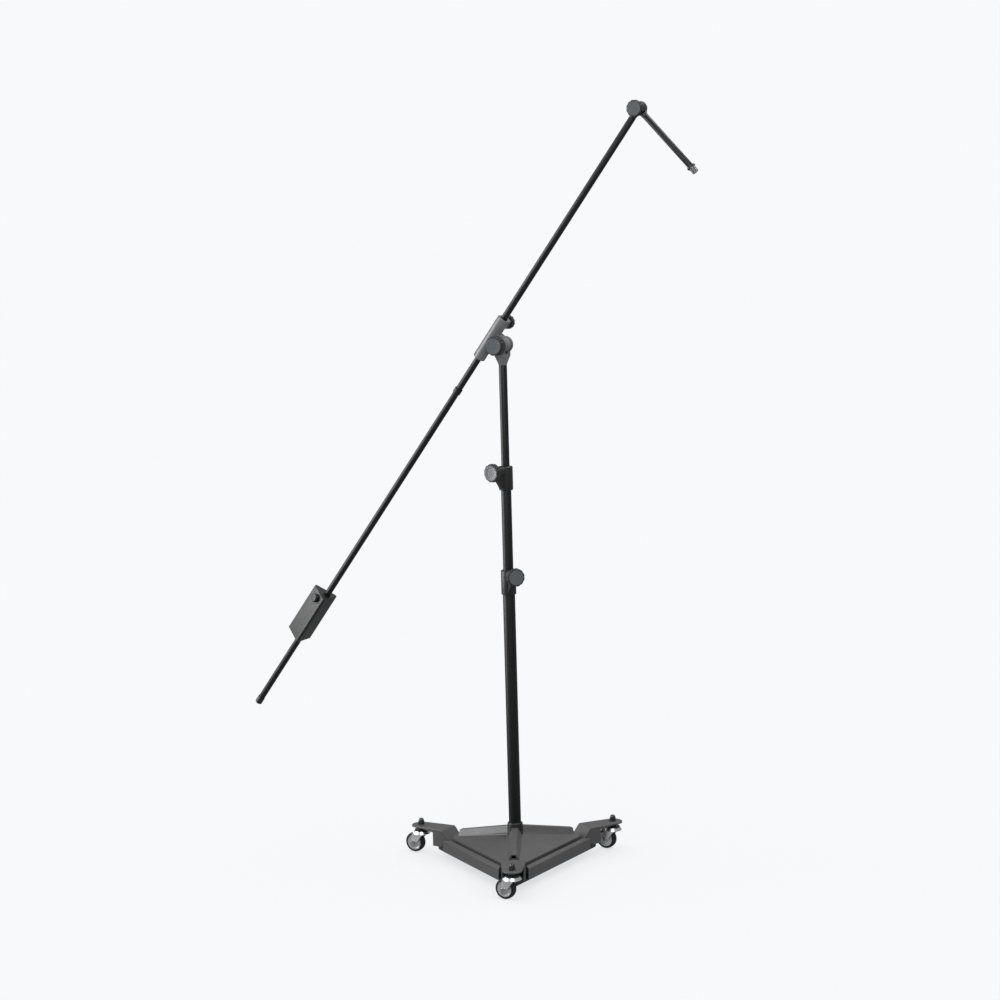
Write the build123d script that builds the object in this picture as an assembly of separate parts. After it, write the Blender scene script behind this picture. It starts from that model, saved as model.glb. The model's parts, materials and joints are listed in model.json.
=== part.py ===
from build123d import *
import os
from math import cos, radians, sin, sqrt, tan

# A boom microphone stand on a heavy three-cornered base with castors.
# Frame: origin on the mast's axis at floor level, +Z up, boom in the XZ plane with the
# microphone end towards +X, clamp knobs of the boom on the -Y side.

# ------------------------------------------------------------------ driving sizes, mm
base_turn = -64.0          # direction of the first base corner, degrees from +X
stem_reach = 280.0         # castor stems from the mast's axis
side_reach = 128.0         # outer face of the side rails from the mast's axis
wheel_d = 50.0
wheel_w = 20.0
wheel_trail = 18.0         # axle behind the stem

weight_low = 14.0          # underside of the cast weight above the floor
weight_high = 36.0
weight_reach = 226.0       # cut-off corners of the weight
rail_low = 20.0
rail_edge_high = 48.5      # outer top edge of a rail
rail_high = 50.5
rail_w = 16.0
rail_lip = 7.0             # part of the rail that hangs over the weight's edge
rail_gap = 1.0
groove_w = 6.0             # groove between a rail and the cover
cover_edge_high = 55.0
cover_low = 40.5
cover_slope = 0.31         # rise of the cover's faces towards the mast
cover_reach = 172.0        # cut-off corners of the cover
cover_t = 2.5
rib_peak = 105.5           # height of the raised ribs, carried on to the mast's axis
rib_fall = 0.195           # their drop for each millimetre outwards
rib_end = 160.0
rib_top_w = 13.0
rib_flare = 0.5            # how much a rib's sides widen downwards
notch_gap = 2.5            # between an outrigger and the ends of the rails
notch_flare = 12.0         # degrees

arm_w = 58.0               # outriggers
arm_t = 4.0
arm_rise = 22.0            # top of the outriggers above the wheels
arm_tip_r = 24.0           # rounded outer end
arm_edge = 9.0             # side flanges outside the step
arm_thin_from = 264.0      # bare plate from here outwards
arm_web_out = 228.0        # deep side webs end here
arm_web_low = 29.0
arm_web_in = 201.0
arm_foot_in = 100.0
arm_foot_out = 174.0
arm_bend = 198.0
arm_foot_w = 36.0
lip_t = 3.0

top_tube_d = 20.0
tube_step = 5.0            # each tube down is wider by this
mast_wall = 1.8
socket_wall = 3.9
socket_high = 112.0
lower_collar_z = (684.0, 744.0)
middle_collar_z = (941.0, 999.0)
middle_tube_low = 270.0
upper_tube_low = 510.0
upper_tube_top = 1245.0
collar_wall = 3.3
bush_h = 40.0
bush_drop = 2.5            # top of a bush below the top of its collar
fit_gap = 0.05             # radial gap of a running fit
free_gap = 0.3             # gap between pieces that pass each other

lower_knob_dir = 47.0 - 90.0       # degrees from +X
middle_knob_dir = -10.0 - 90.0
lower_knob_z = 733.0
middle_knob_z = 988.0
collar_boss_reach = 40.0
knob_d = 45.0
knob_depth = 18.0
stud_d = 6.0

yoke_rise = 48.7           # tilt axis of the boom above the top tube
boom_tilt = 53.1           # degrees above the horizontal
boom_lift = 32.8           # boom's axis above the tilt axis
boom_d = 16.0
boom_wall = 1.5
boom_front = 638.7         # ends along the boom, from the point nearest the tilt axis
boom_rear = -1197.0
coupling_at = (-173.0, -160.0)
sleeve_at = (-64.8, 54.7)
sleeve_d = 30.4
liner_wall = 2.4
lug_d = 38.0
lug_t = 18.0
disc_t = 3.0
cheek_t = 7.0
cheek_d = 40.0
bolt_d = 8.0
tilt_knob_d = 47.0
lock_at = 41.0
lock_knob_d = 34.0
lock_knob_depth = 15.0

weight_at = (-971.0, -829.0)       # counterweight along the boom
weight_side = 70.0
weight_off = 6.0           # middle of its section above the boom's axis
weight_chamfer = 4.0
weight_screw_in = 16.0

knuckle_at = 663.9         # mini boom's pivot along the boom
knuckle_d = 34.0
knuckle_t = 12.0
knuckle_knob_d = 40.0
knuckle_knob_depth = 14.0
mini_drop = 46.4           # mini boom below the horizontal, degrees
mini_d = 14.5
mini_at = (26.0, 186.0)    # mini boom's tube from its pivot
flange_d = 21.0
flange_t = 5.0
mic_thread_d = 15.875      # 5/8 inch microphone thread
mic_thread_l = 14.0

# ------------------------------------------------------------------ sizes that follow
CORNERS = [base_turn + 120 * k for k in range(3)]
cos60 = 0.5
sin60 = sqrt(3) / 2
wheel_r = wheel_d / 2
weight_in = side_reach - rail_lip - rail_gap
rail_in = side_reach - rail_w
cover_in = rail_in - groove_w
cover_peak = cover_edge_high + cover_slope * cover_in
arm_high = wheel_d + arm_rise
notch_half = arm_w / 2 + notch_gap
tube_r = [top_tube_d / 2 + tube_step * k / 2 for k in (2, 1, 0)]
socket_r = tube_r[0] + socket_wall + 0.1
pivot_z = upper_tube_top + yoke_rise
collar_r = [tube_r[0] + collar_wall, tube_r[1] + collar_wall + 1.5]
boom_r = boom_d / 2
liner_r = boom_r + liner_wall
sleeve_r = sleeve_d / 2
slot_half = lug_t / 2 + disc_t + 0.2
cheek_out = slot_half + cheek_t
weight_face = weight_side / (2 * sqrt(3)) + weight_off * cos60      # screw's face from the boom's axis

BOOM = Plane(
    origin=(-boom_lift * sin(radians(boom_tilt)), 0, pivot_z + boom_lift * cos(radians(boom_tilt))),
    x_dir=(-sin(radians(boom_tilt)), 0, cos(radians(boom_tilt))),
    z_dir=(cos(radians(boom_tilt)), 0, sin(radians(boom_tilt))),
)
knuckle_pos = BOOM.from_local_coords(Vector(0, 0, knuckle_at))
MINI = Plane(
    origin=knuckle_pos,
    x_dir=(sin(radians(mini_drop)), 0, cos(radians(mini_drop))),
    z_dir=(cos(radians(mini_drop)), 0, -sin(radians(mini_drop))),
)
parts = {}


# ------------------------------------------------------------------ shapes used often
def rod(r, low, high):
    """Upright cylinder between two heights."""
    return Pos(0, 0, low) * Cylinder(r, high - low, align=(Align.CENTER, Align.CENTER, Align.MIN))


def pipe(r_out, r_in, low, high):
    return rod(r_out, low, high) - rod(r_in, low - 1, high + 1)


def block(x, y, z):
    """Box between three pairs of limits."""
    size = [b - a for a, b in (x, y, z)]
    return Pos(x[0], y[0], z[0]) * Box(*size, align=(Align.MIN, Align.MIN, Align.MIN))


def prism(points, low, high):
    """Upright prism on a closed outline."""
    face = make_face(Polyline(*points, close=True))
    return Pos(0, 0, low) * extrude(face, high - low)


def side_prism(points, y_low, y_high):
    """Prism along Y on an outline given as x and z."""
    face = Plane.XZ * make_face(Polyline(*points, close=True))
    return Pos(0, y_high, 0) * extrude(face, y_high - y_low)


def turn(angle, shape):
    return Rot(0, 0, angle) * shape


def at_corner(angle, along, across):
    """Point given along and across one corner's direction."""
    c, s = cos(radians(angle)), sin(radians(angle))
    return (along * c - across * s, along * s + across * c)


def cross_rod(r, y_low, y_high):
    """Cylinder along the local Y axis."""
    return Pos(0, y_low, 0) * Rot(-90, 0, 0) * rod(r, 0, y_high - y_low)


def hexagon(across, low, high):
    face = RegularPolygon(across / 2, 6, major_radius=False)
    return Pos(0, 0, low) * extrude(face, high - low)


def cut_triangle(inradius, reach, low, high):
    """Triangular prism whose corners are cut off square at a reach from the middle."""
    half = (inradius - reach * cos60) / sin60
    points = []
    for angle in CORNERS:
        points += [at_corner(angle, reach, -half), at_corner(angle, reach, half)]
    return prism(points, low, high)


def knob_body(d, depth, bore_d):
    """Round knob with a hub below, a recess for its cap and shallow grips round its rim."""
    r = d / 2
    hub_r = 0.42 * r
    hub_h = 0.2 * depth
    cap_r = 0.82 * r
    profile = [
        (0, 0), (hub_r, 0), (hub_r, hub_h), (r - 2.5, hub_h), (r, hub_h + 2.5), (r, depth - 2),
        (r - 2, depth), (cap_r, depth), (cap_r, depth - 2), (0, depth - 2),
    ]
    body = revolve(Plane.XZ * make_face(Polyline(*profile, close=True)), Axis.Z)
    grips = [Rot(0, 0, 30 * k) * Pos(r + 2.2, 0, 0) * rod(3.2, -1, depth + 1) for k in range(12)]
    return body - grips - rod(bore_d / 2, -1, depth - 5)


def knob_cap(d, depth):
    """Inlay that fills the recess of knob_body and stands a little proud of it."""
    cap_r = 0.82 * d / 2 - 0.1
    disc = rod(cap_r, depth - 2, depth + 0.8)
    return fillet(disc.edges().sort_by(Axis.Z)[-1:], 0.7)


def add(name, shape):
    parts[name] = shape


# ------------------------------------------------------------------ base
def base_weight():
    slab = cut_triangle(weight_in, weight_reach, weight_low, weight_high)
    slab = fillet(slab.edges().filter_by(Axis.Z), 7)
    slab = chamfer(slab.faces().sort_by(Axis.Z)[0].edges(), 3)
    slab -= rod(6.6, 0, 100)
    slab -= rod(12.5, 0, weight_low + 11)
    return slab - foot_holes(screw_r + 0.1)


screw_r = 3.0
foot_bolt_at = 118.0
foot_bolt_half = 11.0
screw_bottom = weight_low + 8


def foot_bolt_places():
    return [at_corner(a, foot_bolt_at, s * foot_bolt_half) for a in CORNERS for s in (-1, 1)]


def foot_holes(r):
    holes = [Pos(*p, 0) * rod(r, screw_bottom - 1, weight_high + 20) for p in foot_bolt_places()]
    return Compound(children=holes)


def base_screws():
    """Six bolts through the outriggers' feet into the weight, out of sight under the cover."""
    seat = weight_high + arm_t
    bolt = rod(screw_r, screw_bottom, seat) + hexagon(10, seat, seat + 4)
    return Compound(children=[Pos(*place, 0) * bolt for place in foot_bolt_places()])


def pyramid(inset, drop):
    """Three sloping faces over the cut triangle, kept inside by an inset and lowered by a drop."""
    low, high = cover_low - 5, cover_peak - 4
    rings = []
    for z in (low, high):
        reach = 2 * (cover_peak - z) / cover_slope
        points = [at_corner(a, reach, 0) for a in CORNERS]
        rings.append(Pos(0, 0, z - drop) * make_face(Polyline(*points, close=True)))
    sloped = loft(rings, ruled=True)
    return sloped & cut_triangle(cover_in - inset, cover_reach - inset, cover_low - (5 if inset else 0), 200)


def rib(thin, end):
    """Raised rib along +X with sloping sides, made smaller all round by thin."""
    foot_z = cover_low + 2
    sections = []
    for x in (12.0, end):
        top_z = rib_peak - rib_fall * x - thin
        top_half = rib_top_w / 2 - 0.7 * thin
        foot_half = top_half + rib_flare * (top_z - foot_z)
        outline = Polyline(
            (x, -foot_half, foot_z), (x, -top_half, top_z), (x, top_half, top_z), (x, foot_half, foot_z),
            close=True,
        )
        sections.append(make_face(outline))
    return loft(sections, ruled=True)


def rib_opening():
    """Small opening in the end wall of a rib."""
    low, high = rib_peak - rib_fall * rib_end - 9.8, rib_peak - rib_fall * rib_end - cover_t
    outline = Polyline((-6.5, low), (-3.8, high), (3.8, high), (6.5, low), close=True)
    face = Plane.YZ * make_face(outline)
    return Pos(rib_end - cover_t - 1, 0, 0) * extrude(face, cover_t + 2)


def base_cover():
    """Shallow three-sided shell with a hollow rib to each corner."""
    wall_drop = cover_t * sqrt(1 + cover_slope ** 2)
    shell = pyramid(0, 0)
    for angle in CORNERS:
        shell += turn(angle, rib(0, rib_end))
    shell -= pyramid(cover_t, wall_drop)
    for angle in CORNERS:
        shell -= turn(angle, rib(cover_t, rib_end - cover_t))
        shell -= turn(angle, rib_opening())
    return shell - rod(socket_r + free_gap, 0, 200)


def corner_notch():
    """Open space for an outrigger between the ends of two rails, along +X."""
    spread = tan(radians(notch_flare))
    near, far = 100.0, 300.0
    half_near = notch_half + (near - cover_reach) * spread
    half_far = notch_half + (far - cover_reach) * spread
    points = [(near, -half_near), (far, -half_far), (far, half_far), (near, half_near)]
    return prism(points, 0, 100)


def side_rail(angle):
    """Steel rail between two corners; angle is the direction square to it."""
    lip_in = side_reach - rail_lip
    profile = [
        (rail_in, weight_high), (lip_in, weight_high), (lip_in, rail_low), (side_reach - 1, rail_low),
        (side_reach, rail_low + 1), (side_reach, rail_edge_high), (rail_in + 2, rail_high),
        (rail_in, rail_high - 1),
    ]
    rail = turn(angle, side_prism(profile, -230, 230))
    for corner in CORNERS:
        rail -= turn(corner, corner_notch())
    return rail


def arm_plan(inset):
    """Outline of an outrigger from above: tapered towards a rounded end round the stem."""
    half, tip = arm_w / 2 - inset, arm_tip_r - inset
    points = [
        (arm_foot_in, -half), (arm_bend + 8, -half), (stem_reach, -tip), (stem_reach, tip),
        (arm_bend + 8, half), (arm_foot_in, half),
    ]
    return prism(points, 0, 100) + Pos(stem_reach, 0, 0) * rod(tip, 0, 100)


def outrigger():
    """Pressed arm along +X: foot on the weight, a step up, deep webs and a flat end for the stem."""
    half = arm_w / 2
    top, under = arm_high, arm_high - arm_t
    past = stem_reach + arm_tip_r + 5
    side = [
        (arm_foot_out, weight_high), (arm_foot_out, weight_high + arm_t), (arm_bend, top), (past, top),
        (past, under), (arm_thin_from, under), (arm_web_out, top - arm_edge), (arm_web_out, arm_web_low),
        (arm_web_in, arm_web_low), (arm_bend, weight_high),
    ]
    inside = [
        (arm_foot_out + 5, 0), (arm_foot_out + 5, weight_high), (arm_bend + 3, under), (past, under), (past, 0),
    ]
    arm = side_prism(side, -half - 5, half + 5) & arm_plan(0)
    arm = chamfer(arm.faces().sort_by(Axis.Z)[-1].edges(), 1.2)
    arm -= side_prism(inside, -half - 5, half + 5) & arm_plan(lip_t)
    foot_half = arm_foot_w / 2
    foot = [
        (arm_foot_in, -foot_half), (cover_reach - 5, -foot_half), (arm_foot_out + 1, -half),
        (arm_foot_out + 1, half), (cover_reach - 5, foot_half), (arm_foot_in, foot_half),
    ]
    arm += prism(foot, weight_high, weight_high + arm_t)
    arm -= Pos(stem_reach, 0, 0) * rod(stem_r + 0.2, 0, 200)
    for side_sign in (-1, 1):
        arm -= Pos(foot_bolt_at, side_sign * foot_bolt_half, 0) * rod(screw_r + 0.3, 0, 60)
    return arm


stem_r = 5.0
dish_low = wheel_d + 2.5
dish_high = wheel_d + 6
race_high = wheel_d + 9.5


def caster_stem():
    """King pin: rivet head under the fork, upper race, hexagon under the outrigger, thread above."""
    seat = arm_high - arm_t
    pin = rod(stem_r, dish_low - 1, arm_high + 9) + rod(7.5, dish_low - 2.8, dish_low - 0.2)
    pin += rod(17, dish_high + free_gap, race_high)
    return pin + hexagon(17, race_high, seat)


def caster_nut():
    """Domed nut on top of the outrigger."""
    dome_r = 6.8
    high = arm_high + 8
    nut = hexagon(15, arm_high, high) + rod(dome_r, high, high + 1.5)
    nut += Pos(0, 0, high + 1.5) * (Sphere(dome_r) & rod(dome_r + 1, 0, dome_r + 1))
    return nut - rod(stem_r + fit_gap, 0, arm_high + 9.2)


leg_in = wheel_w / 2 + 1.8
leg_t = 2.4


def caster_fork():
    """Swivel fork: a dished head and two legs that narrow towards the axle."""
    axle = (-wheel_trail, wheel_r)
    legs = make_hull(
        (Polyline((-19, dish_low), (13, dish_low), (13, dish_low + 1), (-19, dish_low + 1), close=True)
         + Pos(*axle, 0) * Circle(7).edge()).edges()
    )
    leg_y = leg_in + leg_t
    solid = Pos(0, leg_y, 0) * extrude(Plane.XZ * legs, 2 * leg_y)
    solid -= block((-80, 80), (-leg_in, leg_in), (0, dish_low))
    solid += rod(17, dish_low, dish_high)
    rim = [(15, dish_low + 0.6), (18, dish_low + 0.6), (21.5, dish_low - 4), (22.3, dish_low - 3.2), (18.6, dish_high), (15, dish_high)]
    solid += revolve(Plane.XZ * make_face(Polyline(*rim, close=True)), Axis.Z)
    solid -= rod(stem_r + fit_gap, 0, 100)
    solid -= Pos(*axle_pos()) * cross_rod(axle_r + 0.1, -30, 30)
    solid -= Pos(*axle_pos()) * cross_rod(wheel_r + 1.2, -leg_in, leg_in)
    return solid


axle_r = 3.0


def axle_pos():
    return (-wheel_trail, 0, wheel_r)


def caster_axle():
    end = leg_in + leg_t
    pin = cross_rod(axle_r, -end, end)
    pin += cross_rod(5.5, end, end + 3) + cross_rod(5.5, -end - 3, -end)
    return Pos(*axle_pos()) * pin


hub_r = 19.0


def caster_wheel():
    """Hub disc with a raised boss, a recessed web and a bore that runs on the axle."""
    half = wheel_w / 2
    profile = [
        (axle_r + fit_gap, -half - 1), (7, -half - 1), (8.5, -half + 3), (15, -half + 3), (hub_r, -half + 0.8),
        (hub_r, half - 0.8), (15, half - 3), (8.5, half - 3), (7, half + 1), (axle_r + fit_gap, half + 1),
    ]
    face = Plane.XZ * make_face(Polyline(*profile, close=True))
    return Pos(*axle_pos()) * Rot(-90, 0, 0) * revolve(face, Axis.Z)


def caster_tyre():
    half = wheel_w / 2
    profile = [
        (hub_r, -half), (wheel_r - 2.5, -half), (wheel_r - 0.4, -half + 3), (wheel_r, -half + 7),
        (wheel_r, half - 7), (wheel_r - 0.4, half - 3), (wheel_r - 2.5, half), (hub_r, half),
    ]
    face = Plane.XZ * make_face(Polyline(*profile, close=True))
    return Pos(*axle_pos()) * Rot(-90, 0, 0) * revolve(face, Axis.Z)


add("base_weight", base_weight())
add("base_cover", base_cover())
add("base_screws", base_screws())
for k, angle in enumerate(CORNERS):
    add(f"side_rail_{k + 1}", side_rail(angle + 60))
    add(f"outrigger_{k + 1}", turn(angle, outrigger()))
stem_places = [Pos(*at_corner(a, stem_reach, 0), 0) for a in CORNERS]
add("caster_stems", Compound(children=[p * caster_stem() for p in stem_places]))
add("caster_nuts", Compound(children=[p * caster_nut() for p in stem_places]))
for k, place in enumerate(stem_places):
    add(f"caster_fork_{k + 1}", place * caster_fork())
    add(f"caster_axle_{k + 1}", place * caster_axle())
    add(f"caster_wheel_{k + 1}", place * caster_wheel())
    add(f"caster_tyre_{k + 1}", place * caster_tyre())


# ------------------------------------------------------------------ mast
def mast_socket():
    """Welded socket with a round foot on the weight."""
    top = socket_high
    r = socket_r
    profile = [
        (tube_r[0] + 0.1, weight_high), (38, weight_high), (38, weight_high + 6), (r + 3, weight_high + 6),
        (r, weight_high + 9), (r, top - 3), (r - 2, top), (tube_r[0] + 0.1, top),
    ]
    return revolve(Plane.XZ * make_face(Polyline(*profile, close=True)), Axis.Z)


def mast_bolt():
    """Socket-head bolt from below into the plug of the lower tube."""
    head = rod(9.5, weight_low + 1, weight_low + 10.9) - hexagon(10, weight_low, weight_low + 7)
    return head + rod(6.0, weight_low + 10, 66)


def lower_tube():
    r_in = tube_r[0] - mast_wall
    top = lower_collar_high - bush_drop - bush_h - 1.5
    return pipe(tube_r[0], r_in, weight_high, top) + pipe(r_in, 6.2, weight_high, 70)


def collar(tube, z_low, z_high, bore_steps, knob_dir, knob_z):
    """Clamp casting: a sleeve on a tube's top end with a boss and web for its knob."""
    r = collar_r[tube]
    body = chamfer(rod(r, z_low, z_high).edges().filter_by(GeomType.CIRCLE), 1.5)
    boss = Pos(0, 0, knob_z) * Rot(0, 90, 0) * rod(12, 0, collar_boss_reach)
    web = side_prism(
        [(0, knob_z), (collar_boss_reach, knob_z), (collar_boss_reach, knob_z - 14), (r - 1, z_low + 3), (0, z_low + 3)],
        -7, 7,
    )
    body += turn(knob_dir, boss + web)
    for bore_r, low, high in bore_steps:
        body -= rod(bore_r, low, high)
    return body - turn(knob_dir, Pos(0, 0, knob_z) * Rot(0, 90, 0) * rod(stud_d / 2 + 0.3, 0, 100))


def bush(r, inner_r, collar_top):
    """Ring in a collar that the next tube slides in."""
    top = collar_top - bush_drop
    return pipe(r, inner_r + fit_gap, top - bush_h, top)


def clamp_stud(bush_r):
    """Threaded stud from the knob to the bush; local +Z points away from the mast."""
    return rod(stud_d / 2, bush_r + free_gap, collar_boss_reach + knob_depth - 5.5)


def on_collar(knob_dir, knob_z, shape):
    return turn(knob_dir, Pos(0, 0, knob_z) * Rot(0, 90, 0) * shape)


lower_bush_r = tube_r[0]
middle_bush_r = tube_r[1]
lower_collar_low, lower_collar_high = lower_collar_z
middle_collar_low, middle_collar_high = middle_collar_z
add("mast_socket", mast_socket())
add("mast_bolt", mast_bolt())
add("lower_tube", lower_tube())
add("lower_collar", collar(
    0, lower_collar_low, lower_collar_high,
    [(lower_bush_r + fit_gap, lower_collar_low - 1, lower_collar_high - 2), (tube_r[1] + free_gap, 0, 2000)],
    lower_knob_dir, lower_knob_z,
))
add("lower_bush", bush(lower_bush_r, tube_r[1], lower_collar_high))
middle_tube_top = middle_collar_high - bush_drop - bush_h - 0.5
add("middle_tube", pipe(tube_r[1], tube_r[1] - mast_wall, middle_tube_low, middle_tube_top))
add("middle_collar", collar(
    1, middle_collar_low, middle_collar_high,
    [(middle_bush_r + fit_gap, middle_collar_low - 1, middle_collar_high - 2), (tube_r[2] + free_gap, 0, 2000)],
    middle_knob_dir, middle_knob_z,
))
add("middle_bush", bush(middle_bush_r, tube_r[2], middle_collar_high))
add("upper_tube", pipe(tube_r[2], tube_r[2] - mast_wall, upper_tube_low, upper_tube_top))
for name, knob_dir, knob_z, bush_r in (
    ("lower_knob", lower_knob_dir, lower_knob_z, lower_bush_r),
    ("middle_knob", middle_knob_dir, middle_knob_z, middle_bush_r),
):
    lift = Pos(0, 0, collar_boss_reach + free_gap)
    add(name, on_collar(knob_dir, knob_z, lift * knob_body(knob_d, knob_depth, stud_d)))
    add(name + "_cap", on_collar(knob_dir, knob_z, lift * knob_cap(knob_d, knob_depth)))
    add(name + "_stud", on_collar(knob_dir, knob_z, clamp_stud(bush_r)))


# ------------------------------------------------------------------ head of the mast
def yoke():
    """Fork on a tapered neck, with a spigot inside the upper tube."""
    fork_low = pivot_z - lug_d / 2 - 3.5
    neck = loft([
        Pos(0, 0, upper_tube_top) * Circle(tube_r[2]),
        Pos(0, 0, fork_low - 4) * RectangleRounded(27, 2 * cheek_out, 5),
    ])
    cheeks = block((-13.5, 13.5), (-cheek_out, cheek_out), (fork_low - 4, pivot_z))
    cheeks = fillet(cheeks.edges().filter_by(Axis.Z), 5)
    cheeks += Pos(0, 0, pivot_z) * cross_rod(cheek_d / 2, -cheek_out, cheek_out)
    body = neck + cheeks + rod(tube_r[2] - mast_wall - 0.1, upper_tube_top - 35, upper_tube_top)
    slot = block((-60, 60), (-slot_half, slot_half), (fork_low, pivot_z + 60))
    slot = fillet(slot.edges().filter_by(Axis.X).sort_by(Axis.Z)[:2], 2)
    body -= slot
    return body - Pos(0, 0, pivot_z) * cross_rod(bolt_d / 2 + 0.2, -60, 60)


def tilt_bolt():
    """Clutch bolt with a broad round head behind the yoke."""
    head_low, head_high = cheek_out + 0.1, cheek_out + 8
    bolt = cross_rod(bolt_d / 2, -cheek_out - tilt_knob_depth + 6, head_low + 1)
    head = cross_rod(15, head_low, head_high)
    head = chamfer(head.edges().filter_by(GeomType.CIRCLE).sort_by(Axis.Y)[-1:], 3)
    return Pos(0, 0, pivot_z) * (bolt + head)


tilt_knob_depth = 26.5


def facing_front(shape):
    """Turn a knob drawn along +Z so that it faces -Y."""
    return Rot(90, 0, 0) * shape


def facing_back(shape):
    return Rot(-90, 0, 0) * shape


def boom_holder():
    """Sleeve for the boom with a round lug between the yoke's cheeks, in the boom's frame."""
    low, high = sleeve_at
    sleeve = chamfer(rod(sleeve_r, low, high).edges().filter_by(GeomType.CIRCLE), 1.5)
    lug = Pos(-boom_lift, 0, 0) * cross_rod(lug_d / 2, -lug_t / 2, lug_t / 2)
    web = block((-boom_lift, 0), (-lug_t / 2, lug_t / 2), (-lug_d / 2, lug_d / 2))
    boss = Pos(0, 0, lock_at) * (cross_rod(11, -lock_seat, 0) + block((-11, 11), (-lock_seat + 4, 0), (-11, 11)))
    body = sleeve + lug + web + boss
    body -= rod(liner_r + fit_gap, low - 1, high + 1)
    body -= Pos(-boom_lift, 0, 0) * cross_rod(bolt_d / 2 + fit_gap, -40, 40)
    return body - Pos(0, 0, lock_at) * cross_rod(stud_d / 2 + 0.3, -60, 0)


lock_seat = 27.0


def clutch_discs():
    """Friction discs on both sides of the lug."""
    ring = cross_rod(lug_d / 2 + 0.5, 0, disc_t) - cross_rod(bolt_d / 2 + 0.3, -1, disc_t + 1)
    pair = [Pos(-boom_lift, lug_t / 2, 0) * ring, Pos(-boom_lift, -lug_t / 2 - disc_t, 0) * ring]
    return Compound(children=pair)


add("yoke", yoke())
add("tilt_bolt", tilt_bolt())
add("boom_holder", BOOM * boom_holder())
add("clutch_discs", BOOM * clutch_discs())
add("boom_liner", BOOM * pipe(liner_r, boom_r + fit_gap, sleeve_at[0] + 1, sleeve_at[1] - 1))
tilt_seat = Pos(0, -cheek_out - free_gap, pivot_z)
add("tilt_knob", tilt_seat * facing_front(knob_body(tilt_knob_d, tilt_knob_depth, bolt_d + 0.1)))
add("tilt_knob_cap", tilt_seat * facing_front(knob_cap(tilt_knob_d, tilt_knob_depth)))
# in the boom's frame local +Y is the knob side, so the lock knob behind faces local -Y
lock_seat_place = Pos(0, -lock_seat - free_gap, lock_at)
add("lock_knob", BOOM * lock_seat_place * facing_front(knob_body(lock_knob_d, lock_knob_depth, stud_d)))
add("lock_stud", BOOM * Pos(0, 0, lock_at) * facing_front(rod(stud_d / 2, liner_r + free_gap, lock_seat + 10)))


# ------------------------------------------------------------------ boom
def boom_coupling():
    low, high = coupling_at
    r = boom_r + 2
    ring = chamfer(rod(r, low, high).edges().filter_by(GeomType.CIRCLE), 0.8)
    return ring - rod(boom_r + 0.02, low - 1, high + 1)


def boom_knuckle():
    """Front end of the boom: plug, shoulder and a half-thick disc on the knob side."""
    edge = knuckle_at - knuckle_d / 2 - 1.5
    body = rod(boom_r - boom_wall - 0.1, boom_front - 25, boom_front) + rod(boom_r, boom_front, edge)
    body += Pos(0, 0, knuckle_at) * cross_rod(knuckle_d / 2, 0.2, knuckle_t)
    body += block((-boom_r, boom_r), (0.2, boom_r), (edge - 1, knuckle_at))
    return body - Pos(0, 0, knuckle_at) * cross_rod(bolt_d / 2 + fit_gap, -40, 40)


def boom_end_cap():
    cap = rod(boom_r + 1, boom_rear - 3, boom_rear + 16)
    cap = fillet(cap.edges().filter_by(GeomType.CIRCLE).sort_by(SortBy.DISTANCE)[:1], 0.8)
    return cap - rod(boom_r + 0.02, boom_rear, boom_rear + 30)


def counterweight():
    """Triangular casting with one flat face down and its ridge up."""
    low, high = weight_at
    inner = weight_side / (2 * sqrt(3))
    points = [(2 * inner, 0), (-inner, weight_side / 2), (-inner, -weight_side / 2)]
    block_3 = Pos(weight_off, 0, 0) * prism(points, low, high)
    block_3 = chamfer(block_3.edges().filter_by(Axis.Z), weight_chamfer)
    block_3 = chamfer(block_3.faces().filter_by(Axis.Z).edges(), 1.2)
    block_3 -= rod(boom_r + free_gap, low - 1, high + 1)
    return block_3 - weight_screw_place() * rod(stud_d / 2 + 0.3, -weight_side, 40)


def weight_screw_place():
    """Frame of the clamping screw: its +Z leaves the face that looks up and to the knob side."""
    normal = (cos60, sin60, 0)
    z = weight_at[1] - weight_screw_in
    return Plane(origin=(weight_face * cos60, weight_face * sin60, z), x_dir=(0, 0, 1), z_dir=normal).location


def weight_screw():
    """Thumb screw with a ribbed round head."""
    head = chamfer(rod(11, 1, 10).edges().filter_by(GeomType.CIRCLE), 1.2)
    for k in range(10):
        head -= Rot(0, 0, 36 * k) * Pos(12, 0, 0) * rod(1.9, 0, 12)
    return weight_screw_place() * (head + rod(stud_d / 2, boom_r + 2 * free_gap - weight_face, 2))


def mini_knuckle():
    """Rear end of the mini boom: a half-thick disc behind the boom's, and a tapered neck."""
    edge = knuckle_d / 2 + 1.5
    tube_low = mini_at[0]
    neck = loft([Pos(0, 0, edge) * Circle(boom_r), Pos(0, 0, tube_low) * Circle(mini_d / 2)])
    body = neck + rod(mini_d / 2 - boom_wall - 0.1, tube_low, tube_low + 20)
    body += cross_rod(knuckle_d / 2, -knuckle_t, -0.2)
    body += block((-boom_r, boom_r), (-boom_r, -0.2), (0, edge + 0.5))
    return body - cross_rod(bolt_d / 2 + 0.2, -40, 40)


def mic_stud():
    """Flange and threaded stud for the microphone clip."""
    flange_low = mini_at[1]
    stud = rod(mini_d / 2 - boom_wall - 0.1, flange_low - 18, flange_low)
    flange = chamfer(rod(flange_d / 2, flange_low, flange_low + flange_t).edges().filter_by(GeomType.CIRCLE), 0.8)
    thread = rod(mic_thread_d / 2, flange_low + flange_t, flange_low + flange_t + mic_thread_l)
    return stud + flange + thread


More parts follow.
